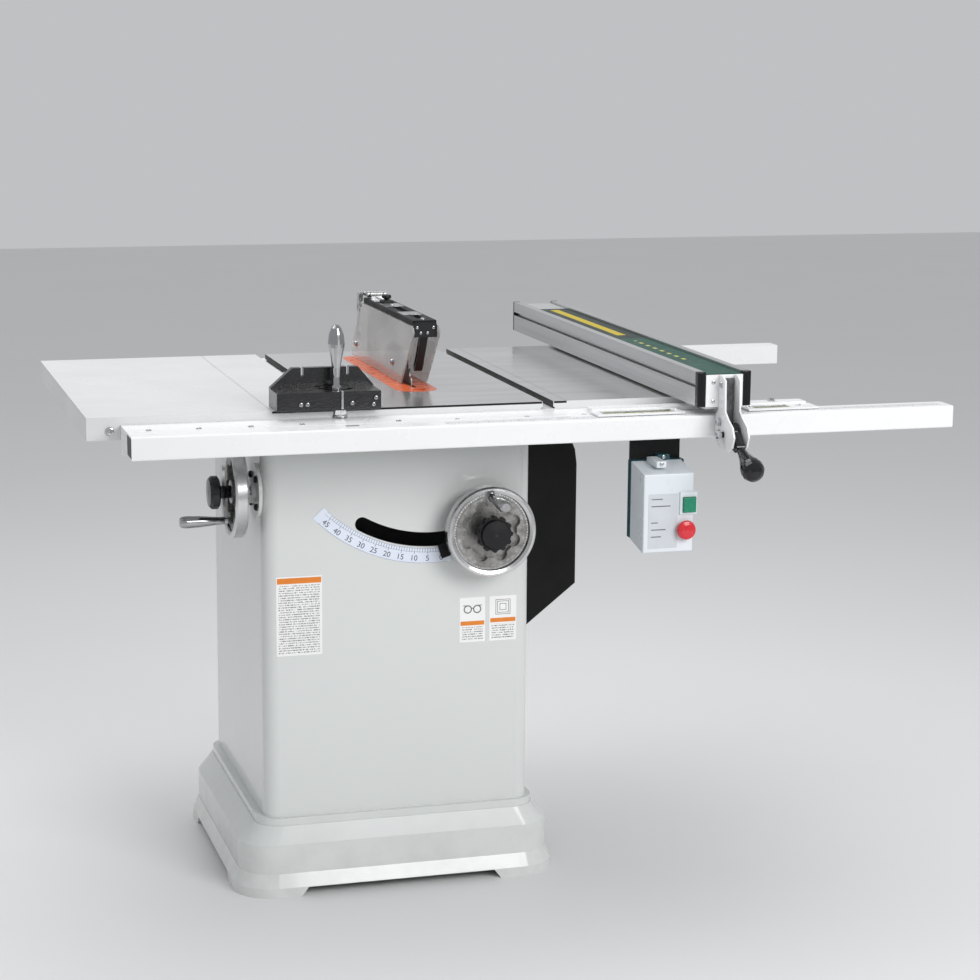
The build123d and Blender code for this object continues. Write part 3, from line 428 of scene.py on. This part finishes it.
# ---- piece helpers ---------------------------------------------------------
def piece(name, bm, material, body, bevel=0.0):
    """Turn a drawn mesh into a piece that rides on a body."""
    bmesh.ops.recalc_face_normals(bm, faces=bm.faces)
    mesh = bpy.data.meshes.new(name)
    bm.to_mesh(mesh)
    bm.free()
    mesh.materials.append(MAT[material])
    mesh.shade_smooth()
    mesh.set_sharp_from_angle(angle=radians(35))
    obj = bpy.data.objects.new(name, mesh)
    bpy.context.scene.collection.objects.link(obj)
    if bevel:
        m = obj.modifiers.new("edge", "BEVEL")
        m.width, m.segments, m.limit_method, m.angle_limit = bevel, 2, "ANGLE", radians(40)
        m.harden_normals = False
    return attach(obj, body)


def shape(material, body, bevel=0.0):
    """Decorator: the function draws one piece and gives it its name."""
    def build(draw):
        bm = bmesh.new()
        draw(bm)
        piece(draw.__name__, bm, material, body, bevel)
        return draw
    return build


def add_box(bm, lo, hi):
    v = [bm.verts.new((x, y, z)) for x in (lo[0], hi[0]) for y in (lo[1], hi[1]) for z in (lo[2], hi[2])]
    for f in ((0, 1, 3, 2), (4, 6, 7, 5), (0, 4, 5, 1), (2, 3, 7, 6), (0, 2, 6, 4), (1, 5, 7, 3)):
        bm.faces.new([v[i] for i in f])


def basis(axis):
    z = Vector(axis).normalized()
    x = z.orthogonal().normalized()
    return x, z.cross(x), z


def add_turned(bm, origin, axis, profile, seg=32):
    """Turned shape: profile of (radius, height) along an axis."""
    x, y, z = basis(axis)
    rings = []
    for r, h in profile:
        c = Vector(origin) + z * h
        if r < 1e-7:
            rings.append([bm.verts.new(c)])
        else:
            rings.append([bm.verts.new(c + (x * cos(2 * pi * i / seg) + y * sin(2 * pi * i / seg)) * r)
                          for i in range(seg)])
    for a, b in zip(rings, rings[1:]):
        for i in range(seg):
            j = (i + 1) % seg
            ring = [a[i % len(a)], a[j % len(a)], b[j % len(b)], b[i % len(b)]]
            unique = list(dict.fromkeys(ring))
            if len(unique) > 2:
                bm.faces.new(unique)


def add_prism(bm, points, axis, low, high):
    """Outline extruded along X, Y or Z; points are the two other coordinates in order."""
    def place(p, t):
        c = [p[0], p[1]]
        c.insert(axis, t)
        return c
    a = [bm.verts.new(place(p, low)) for p in points]
    b = [bm.verts.new(place(p, high)) for p in points]
    bm.faces.new(a)
    bm.faces.new(b[::-1])
    for i in range(len(points)):
        j = (i + 1) % len(points)
        bm.faces.new((a[i], b[i], b[j], a[j]))


def pan_head(bm, origin, axis, r, h):
    """Domed screw head with a hex socket."""
    dome = [(0, 0), (r, 0), (r, h * 0.45), (r * 0.86, h * 0.85), (r * 0.6, h), (r * 0.5, h)]
    socket = [(r * 0.46, h * 0.55), (0, h * 0.55)]
    add_turned(bm, origin, axis, dome + socket, 24)


def hex_nut(bm, origin, axis, r, h):
    outside = [(0, 0), (r, 0), (r, h * 0.85), (r * 0.9, h), (r * 0.5, h)]
    add_turned(bm, origin, axis, outside + [(r * 0.48, h * 0.8), (0, h * 0.8)], 6)


def washer(bm, origin, axis, r, h):
    add_turned(bm, origin, axis, [(0, 0), (r, 0), (r, h), (0, h)], 28)


# ---- table and rails -------------------------------------------------------
@shape("zinc", "stand")
def insert_screws(bm):
    for x in (INSERT_LO.x + 0.0115, INSERT_HI.x - 0.0105):
        for y in (-0.110, 0.060, 0.235):
            pan_head(bm, (x, y, TOP - 0.0029), (0, 0, 1), 0.0041, 0.0026)


@shape("zinc", "stand")
def rail_screws(bm):
    """Screws of the shelf; those under the cursors' path lie nearly flush."""
    flush_from = 0.03
    for x in (-0.450, -0.3695, -0.285, -0.201, -0.040, 0.060, 0.180, 0.280, 0.420, 0.540):
        pan_head(bm, (x, -0.3945, SHELF), (0, 0, 1), 0.0046, 0.0003 if x > flush_from else 0.0022)


@shape("black_plastic", "stand", 0.0012)
def rail_caps(bm):
    """Plugs in both ends of the front rail tube, just inside its wall."""
    wall, gap, depth = 0.00255, 0.0003, 0.016
    for x0, x1 in ((RAIL_LO.x + gap, RAIL_LO.x + depth), (RAIL_HI.x - depth, RAIL_HI.x - gap)):
        add_box(bm, (x0, RAIL_LO.y + wall, RAIL_LO.z + wall), (x1, RAIL_HI.y - wall, RAIL_HI.z - wall))


@shape("tape", "stand")
def rail_tape(bm):
    add_box(bm, (0.030, -0.4400, SHELF + 0.00002), (0.915, -0.4200, SHELF + 0.00022))


@shape("label_grey", "stand", 0.0003)
def rail_marks(bm):
    """Short marks on the rail in line with the mitre slots."""
    for x in SLOT_X:
        add_box(bm, (x - 0.011, -0.4265, SHELF - 0.00005), (x + 0.011, -0.4175, SHELF + 0.0002))


@shape("zinc", "stand")
def wing_bolts(bm):
    for x, y, z in ((-0.5035, TABLE_LO.y - 0.0001, 0.841), (0.5600, -0.3368, 0.822)):
        pan_head(bm, (x, y, z), (0, -1, 0), 0.0072, 0.0042)


@shape("zinc", "stand")
def rail_bolts(bm):
    for x in (-0.42, -0.08, 0.20, 0.46):
        pan_head(bm, (x, 0.3596, 0.829), (0, 1, 0), 0.0070, 0.0040)
        pan_head(bm, (x, -0.3369, 0.822), (0, -1, 0), 0.0070, 0.0040)


@shape("black_paint", "stand")
def front_edge(bm):
    """Painted shade: a dark line along the front edge of the polished top, broken by the mitre slots."""
    left, right = SLOT_X
    runs = ((TABLE_LO.x + 0.0002, left - 0.0105), (left + 0.0105, right - 0.0106),
            (right + 0.0106, TABLE_HI.x - 0.0002))
    y = TABLE_LO.y
    for x0, x1 in runs:
        add_box(bm, (x0, y - 0.00015, TOP - 0.0036), (x1, y + 0.00005, TOP - 0.00015))


@shape("label_grey", "stand")
def wing_joints(bm):
    """Thin dark joints between the table and its wings."""
    for x in (TABLE_LO.x, TABLE_HI.x):
        add_box(bm, (x - 0.0004, TABLE_LO.y + 0.0001, TOP - 0.0002),
                (x + 0.0004, TABLE_HI.y - 0.0001, TOP + 0.00006))


# ---- cabinet ---------------------------------------------------------------
@shape("black_paint", "stand", 0.0004)
def cover_hinges(bm):
    """Hinge leaves on the cabinet wall behind the motor cover."""
    x, y = SHELL_HI.x, PIVOT["motor_door_swing"][1]
    for z in (0.470, 0.700):
        add_box(bm, (x + 0.0001, y + 0.0018, z + 0.002), (x + 0.0017, y + 0.0310, z + 0.048))
        for dz in (0.012, 0.038):
            pan_head(bm, (x + 0.0017, y + 0.020, z + dz), (1, 0, 0), 0.0035, 0.0018)


@shape("black_plastic", "motor_door", 0.0005)
def cover_latch(bm):
    profile = [(0, 0), (0.012, 0), (0.012, 0.003), (0.0085, 0.006), (0.0085, 0.012), (0.0070, 0.014),
               (0, 0.014)]
    add_turned(bm, (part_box("motor_cover")[1].x + 0.0001, -0.060, 0.620), (1, 0, 0), profile, 28)


@shape("enamel", "stand", 0.0004)
def louvres(bm):
    """Sloping lips over the vents in the back wall."""
    near, far = SHELL_HI.y + 0.0001, SHELL_HI.y + 0.0057
    for i in range(5):
        z = 0.560 + 0.024 * i
        lip = [(near, z + 0.0085), (near, z + 0.0100), (far, z + 0.0030), (far, z + 0.0015)]
        add_prism(bm, lip, 0, -0.150, -0.030)


@shape("zinc", "stand")
def port_screws(bm):
    ring, height = 0.0585, 0.25
    for i in range(4):
        a = radians(45 + 90 * i)
        at = (ring * cos(a), SHELL_HI.y + 0.0036, height + ring * sin(a))
        pan_head(bm, at, (0, 1, 0), 0.0048, 0.0030)


@shape("black_plastic", "stand")
def flange_screws(bm):
    ring = 0.034
    _, y, z = PIVOT["tilt_wheel_turn"]
    for i in range(4):
        a = radians(45 + 90 * i)
        pan_head(bm, (-0.2435, y + ring * cos(a), z + ring * sin(a)), (-1, 0, 0), 0.0062, 0.0045)


def draw_rings(bm, x, y, z):
    """Two rings with a bridge and two side bars, like plain spectacles."""
    for cx in (x - 0.0085, x + 0.0085):
        add_turned(bm, (cx, y - 0.00005, z), (0, -1, 0),
                   [(0.0055, 0), (0.0055, 0.0001), (0.0075, 0.0001), (0.0075, 0)], 28)
    for x0, x1, z0, z1 in ((-0.0025, 0.0025, 0.001, 0.0026), (-0.017, -0.010, 0.006, 0.0074),
                           (0.010, 0.017, 0.006, 0.0074)):
        add_box(bm, (x + x0, y - 0.0001, z + z0), (x + x1, y, z + z1))


def draw_frames(bm, x, y, z):
    """Three square outlines, one inside another."""
    line = 0.0009
    for r in (0.0135, 0.0105, 0.006):
        for a, b, c, d in ((-r, r, r - line, r), (-r, r, -r, -r + line),
                           (-r, -r + line, -r, r), (r - line, r, -r, r)):
            add_box(bm, (x + a, y - 0.0001, z + c), (x + b, y, z + d))


def label(name, x0, x1, z0, z1, band, picture=None):
    """Generic notice: a coloured band over rows of unreadable marks, and if given a picture above it."""
    y = SHELL_LO.y - 0.0001
    bm = bmesh.new()
    add_box(bm, (x0, y, z0), (x1, y + 0.0001, z1))
    piece(name + "_plate", bm, "label", "stand")
    bm = bmesh.new()
    add_box(bm, (x0 + 0.0015, y - 0.0001, band[0]), (x1 - 0.0015, y, band[1]))
    piece(name + "_band", bm, "label_orange", "stand")
    bm = bmesh.new()
    add_box(bm, (x0 + 0.004, y - 0.00005, z0 + 0.004), (x1 - 0.004, y, band[0] - 0.003))
    piece(name + "_print", bm, "print", "stand")
    if picture:
        bm = bmesh.new()
        picture(bm, (x0 + x1) / 2, y, (band[1] + z1) / 2)
        piece(name + "_picture", bm, "label_grey", "stand")


label("notice_left", -0.216, -0.136, 0.424, 0.563, (0.5505, 0.5605))
label("notice_mid", 0.109, 0.155, 0.428, 0.508, (0.4580, 0.4655), draw_rings)
label("notice_right", 0.163, 0.212, 0.428, 0.508, (0.4610, 0.4685), draw_frames)

# ---- tilt scale ------------------------------------------------------------
ZERO = 3.6                          # angle of the zero mark from straight down
SCALE_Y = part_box("tilt_scale")[0].y - 0.00005


def on_scale(angle, r):
    """Point (x, z) of the scale at an angle of tilt and a radius about the tilt axis."""
    t = radians(ZERO - angle)
    return PIVOT["tilt"][0] + r * sin(t), PIVOT["tilt"][2] - r * cos(t)


@shape("ink", "stand")
def scale_ticks(bm):
    """A mark for each degree, longer at each fifth, and three thin arcs."""
    tick_r, half, line = 0.2640, 0.00028, 0.00035
    for k in range(46):
        t = radians(ZERO - k)
        ux, uz = cos(t) * half, sin(t) * half
        a, b = on_scale(k, tick_r), on_scale(k, tick_r + (0.0060 if k % 5 else 0.0105))
        quad = [(p[0] + way * ux, p[1] + way * uz) for p, way in ((a, -1), (a, 1), (b, 1), (b, -1))]
        add_prism(bm, quad, 1, SCALE_Y - 0.00006, SCALE_Y + 0.0001)
    start, sweep, steps = -2, 49.5, 60
    for i in range(steps):
        a, b = start + sweep * i / steps, start + sweep * (i + 1) / steps
        for r in (0.2636, 0.2700, 0.2890):
            quad = [on_scale(a, r), on_scale(b, r), on_scale(b, r + line), on_scale(a, r + line)]
            add_prism(bm, quad, 1, SCALE_Y - 0.00005, SCALE_Y + 0.0001)


def scale_number(value):
    """One number of the tilt scale, upright to its radius."""
    name = f"scale_number_{value:02d}"
    curve = bpy.data.curves.new(name, "FONT")
    curve.body = str(value)
    curve.size, curve.extrude = 0.0135, 0.00004
    curve.align_x = curve.align_y = "CENTER"
    curve.materials.append(MAT["ink"])
    text = bpy.data.objects.new(name, curve)
    bpy.context.scene.collection.objects.link(text)
    x, z = on_scale(value, 0.2815)
    upright = Matrix.Rotation(radians(value - ZERO), 4, "Y") @ Matrix.Rotation(radians(90), 4, "X")
    text.matrix_world = Matrix.Translation((x, SCALE_Y - 0.00002, z)) @ upright
    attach(text, "stand")


for mark in range(0, 46, 5):
    scale_number(mark)


# ---- guard -----------------------------------------------------------------
SHIELD_BOLTS = ((-0.021, 0.895), (0.260, 0.892))
GUARD_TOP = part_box("guard_beam")[1].z


def shield_bolts(name, body, x, out, points):
    """Bolt heads on washers at (y, z) points, facing along X."""
    bm = bmesh.new()
    for y, z in points:
        washer(bm, (x, y, z), (out, 0, 0), 0.0072, 0.0009)
        pan_head(bm, (x + out * 0.0009, y, z), (out, 0, 0), 0.0052, 0.0034)
    piece(name, bm, "chrome", body)


shield_bolts("left_shield_bolts", "left_shield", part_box("shield_left")[0].x, -1, SHIELD_BOLTS)
shield_bolts("right_shield_bolts", "right_shield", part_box("shield_right")[1].x, 1, SHIELD_BOLTS)
shield_bolts("right_shield_nut", "right_shield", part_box("shield_right")[0].x, -1, [(-0.056, 0.898)])


@shape("chrome", "tilt_carriage")
def nose_screws(bm):
    for x, z in ((0.0535, 0.972), (0.0600, 0.9625), (0.0720, 0.9625), (0.0825, 0.972)):
        pan_head(bm, (x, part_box("guard_nose")[0].y, z), (0, -1, 0), 0.0030, 0.0022)


@shape("zinc", "tilt_carriage")
def beam_screws(bm):
    for y in (-0.135, 0.085, 0.180):
        pan_head(bm, (0.0683, y, GUARD_TOP), (0, 0, 1), 0.0040, 0.0026)


@shape("yoke", "tilt_carriage", 0.0003)
def guard_plates(bm):
    """Three bright plates on the beam and the cross pin behind them."""
    for y0, y1 in ((-0.068, -0.022), (0.062, 0.108), (0.142, 0.188)):
        add_box(bm, (0.0505, y0, GUARD_TOP + 0.00002), (0.0860, y1, GUARD_TOP + 0.0008))
    pin = [(0, 0), (0.0058, 0), (0.0058, 0.005), (0.0045, 0.006), (0.0045, 0.030), (0.0058, 0.031),
           (0.0058, 0.036), (0, 0.036)]
    add_turned(bm, (0.0500, 0.203, GUARD_TOP + 0.0080), (1, 0, 0), pin, 24)


@shape("black_plastic", "tilt_carriage", 0.0012)
def guard_clamp(bm):
    add_box(bm, (0.0585, 0.112, GUARD_TOP), (0.0785, 0.138, GUARD_TOP + 0.0055))


@shape("black_plastic", "tilt_carriage", 0.0006)
def guard_knob(bm):
    profile = [(0, 0), (0.0042, 0), (0.0042, 0.0018), (0.0085, 0.0030), (0.0092, 0.0060), (0.0080, 0.0090),
               (0, 0.0096)]
    add_turned(bm, (0.0685, 0.125, GUARD_TOP + 0.0055), (0, 0, 1), profile, 10)


@shape("carbide", "arbor")
def blade_tips(bm):
    teeth = 40
    for i in range(teeth):
        spin = Matrix.Translation(PIVOT["blade_spin"]) @ Matrix.Rotation(radians(360 * i / teeth), 4, "X")
        first = len(bm.verts)
        add_box(bm, (-0.00155, -0.0012, 0.1205), (0.00155, 0.0010, 0.1266))
        bm.verts.ensure_lookup_table()
        for v in bm.verts[first:]:
            v.co = spin @ v.co


# ---- fence -----------------------------------------------------------------
FACE_SPANS = ((FACES_LO.x - 0.0004, BEAM_LO.x + 0.0001), (BEAM_HI.x - 0.0001, FACES_HI.x + 0.0004))


@shape("fence_panel", "fence", 0.0003)
def fence_panel(bm):
    add_box(bm, (BEAM_LO.x + 0.001, BEAM_LO.y + 0.002, BEAM_HI.z + 0.00005),
            (BEAM_HI.x - 0.001, BEAM_HI.y - 0.002, BEAM_HI.z + 0.0012))


@shape("black_gloss", "fence", 0.0014)
def fence_caps(bm):
    front, back = FACES_LO.y, FACES_HI.y
    for x0, x1 in FACE_SPANS:
        for y0, y1 in ((front - 0.0124, front - 0.0002), (back + 0.0002, back + 0.006)):
            add_box(bm, (x0, y0, FACES_LO.z - 0.0006), (x1, y1, FACES_HI.z + 0.0004))


@shape("black_gloss", "fence", 0.0002)
def fence_cap_ribs(bm):
    for x0, x1 in FACE_SPANS:
        xm = (x0 + x1) / 2
        add_box(bm, (xm - 0.0012, -0.4700, 0.8730), (xm + 0.0012, -0.4693, 0.9190))


def cursor_sheets(bm, margin, low, high):
    """A thin sheet in each cursor window, larger than the window by a margin."""
    for x0, x1 in CURSOR_WINDOWS:
        add_box(bm, (x0 - margin, CURSOR_Y[0] - margin, CURSORS_LO.z + low),
                (x1 + margin, CURSOR_Y[1] + margin, CURSORS_LO.z + high))


@shape("lens", "fence", 0.0003)
def cursor_lenses(bm):
    cursor_sheets(bm, 0.0002, 0.0012, 0.0024)


@shape("tape_yellow", "fence")
def cursor_scales(bm):
    cursor_sheets(bm, -0.0002, 0.0001, 0.0004)


@shape("zinc", "fence")
def cursor_screws(bm):
    for x in (0.4375, 0.5675, 0.6600):
        pan_head(bm, (x, -0.4130, CURSORS_HI.z), (0, 0, 1), 0.0046, 0.0016)
    hex_nut(bm, (0.6260, -0.3755, 0.8570), (0, 0, 1), 0.0066, 0.0050)


@shape("zinc", "fence")
def bracket_nuts(bm):
    """Nuts on washers and one screw on the outside of each bracket cheek."""
    cheeks = ((0.4910, -1), (0.5200, 1))
    thick = 0.0012
    for z in (0.822, 0.842):
        for x, way in cheeks:
            washer(bm, (x, -0.477, z), (way, 0, 0), 0.0075, thick)
            hex_nut(bm, (x + way * thick, -0.477, z), (way, 0, 0), 0.0066, 0.0052)
    for x, way in cheeks:
        pan_head(bm, (x, -0.482, 0.905), (way, 0, 0), 0.0052, 0.0034)


@shape("iron", "fence", 0.0008)
def bracket_leaf(bm):
    add_box(bm, (0.4955, -0.4762, 0.8050), (0.5155, -0.4727, 0.9150))


@shape("zinc", "fence")
def bracket_screws(bm):
    for x in (0.4810, 0.5264):
        for z in (0.876, 0.908):
            pan_head(bm, (x, -0.4693, z), (0, -1, 0), 0.0036, 0.0022)


@shape("zinc", "cam_lever")
def lever_pin_ends(bm):
    _, y, z = PIVOT["cam_lever_lift"]
    hex_nut(bm, (0.4858, y, z), (-1, 0, 0), 0.0080, 0.0058)
    pan_head(bm, (0.5252, y, z), (1, 0, 0), 0.0080, 0.0050)


# ---- mitre gauge -----------------------------------------------------------
@shape("chrome", "mitre_gauge")
def mitre_screws(bm):
    for x, z in ((-0.194, 0.876), (-0.183, 0.876), (-0.108, 0.876), (-0.072, 0.873), (-0.068, 0.884)):
        pan_head(bm, (x, -0.3500, z), (0, -1, 0), 0.0040, 0.0040)


@shape("zinc", "mitre_gauge", 0.0004)
def mitre_pointer(bm):
    x0, x1 = -0.1262, -0.1226
    add_box(bm, (x0, -0.3532, 0.8665), (x1, -0.3502, 0.8962))
    add_box(bm, (x0, -0.3532, 0.8952), (x1, -0.3420, 0.8968))


@shape("casting", "mitre_gauge", 0.0004)
def mitre_ribs(bm):
    for z0, z1 in ((0.8660, 0.8700), (0.8890, 0.8925)):
        add_box(bm, (-0.2000, -0.3506, z0), (-0.0650, -0.3500, z1))


# ---- switch ----------------------------------------------------------------
SWITCH_Y = -0.4660                  # front face of the switch cover


@shape("panel", "stand", 0.0002)
def switch_plate(bm):
    add_box(bm, (0.3720, SWITCH_Y - 0.0005, 0.6290), (0.4240, SWITCH_Y, 0.7215))


@shape("label_grey", "stand")
def switch_rules(bm):
    """Plain rules in place of the cover's print."""
    x = 0.3770
    for z, w in ((0.7120, 0.020), (0.7000, 0.034), (0.6720, 0.012), (0.6600, 0.026), (0.6480, 0.018)):
        add_box(bm, (x, SWITCH_Y - 0.0006, z), (x + w, SWITCH_Y - 0.0005, z + 0.0018))


@shape("box_plastic", "stand", 0.0016)
def switch_clip(bm):
    add_box(bm, (0.3900, -0.4520, 0.7630), (0.4080, -0.4020, 0.7745))


@shape("zinc", "stand")
def switch_screws(bm):
    pan_head(bm, (0.4210, -0.4011, 0.7722), (0, -1, 0), 0.0034, 0.0018)
    pan_head(bm, (0.3990, -0.4521, 0.7700), (0, -1, 0), 0.0036, 0.0020)


@shape("black_plastic", "stand", 0.0003)
def switch_gland(bm):
    """Empty cable gland under the switch back."""
    outside = [(0, 0), (0.0075, 0), (0.0075, 0.004), (0.0066, 0.005), (0.0066, 0.010), (0.0050, 0.012)]
    bore = [(0.0036, 0.012), (0.0034, 0.004), (0, 0.004)]
    add_turned(bm, (0.4080, -0.3930, 0.6345), (0, 0, -1), outside + bore, 12)


@shape("label_orange", "stand")
def stop_collar(bm):
    """Thin ring round the stop button's stem, clear of the pressed button."""
    profile = [(0.0085, 0), (0.0122, 0), (0.0122, 0.001), (0.0108, 0.001), (0.0085, 0.00025), (0.0085, 0)]
    add_turned(bm, (0.4370, SWITCH_Y - 0.0002, 0.660), (0, -1, 0), profile, 32)


# ---- studio ----------------------------------------------------------------
def studio_floor():
    bm = bmesh.new()
    add_box(bm, (-9, -9, -0.012), (9, 12, 0.0))
    mesh = bpy.data.meshes.new("floor")
    bm.to_mesh(mesh)
    bm.free()
    mesh.materials.append(MAT["floor"])
    floor = bpy.data.objects.new("floor", mesh)
    bpy.context.scene.collection.objects.link(floor)


def studio_world(color, strength):
    world = bpy.data.worlds.new("studio")
    world.use_nodes = True
    background = world.node_tree.nodes["Background"]
    background.inputs["Color"].default_value = color
    background.inputs["Strength"].default_value = strength
    bpy.context.scene.world = world


def area(name, at, target, size, power):
    light = bpy.data.lights.new(name, "AREA")
    light.shape = "RECTANGLE"
    light.size, light.size_y = size
    light.energy = power
    obj = bpy.data.objects.new(name, light)
    obj.location = at
    obj.rotation_euler = (Vector(target) - Vector(at)).to_track_quat("-Z", "Y").to_euler()
    bpy.context.scene.collection.objects.link(obj)


def view_from(at, yaw, pitch, roll, lens):
    """Camera at a point; yaw from +Y toward +X, pitch below level, then roll, in degrees."""
    data = bpy.data.cameras.new("camera")
    data.lens, data.sensor_width, data.clip_end = lens, 36, 50
    camera = bpy.data.objects.new("camera", data)
    bpy.context.scene.collection.objects.link(camera)
    yaw, pitch, roll = radians(yaw), radians(pitch), radians(roll)
    forward = Vector((sin(yaw) * cos(pitch), cos(yaw) * cos(pitch), -sin(pitch)))
    right = forward.cross(Vector((0, 0, 1))).normalized()
    up = right.cross(forward)
    across, above = right * cos(roll) + up * sin(roll), up * cos(roll) - right * sin(roll)
    rotation = Matrix((across, above, -forward)).transposed()
    camera.matrix_world = Matrix.Translation(at) @ rotation.to_4x4()
    bpy.context.scene.camera = camera


studio_floor()
studio_world((0.96, 0.97, 1.0, 1), 0.55)
area("key", (1.5, -3.6, 2.3), (0.1, 0, 0.6), (2.0, 1.8), 82)
area("top", (-0.4, 0.6, 3.0), (0.0, 0.0, 0.8), (2.6, 2.0), 42)
view_from((-1.0022, -4.1825, 1.4922), 16.46, 10.95, 0.51, 88.74)
bpy.context.scene.view_settings.view_transform = "Standard"
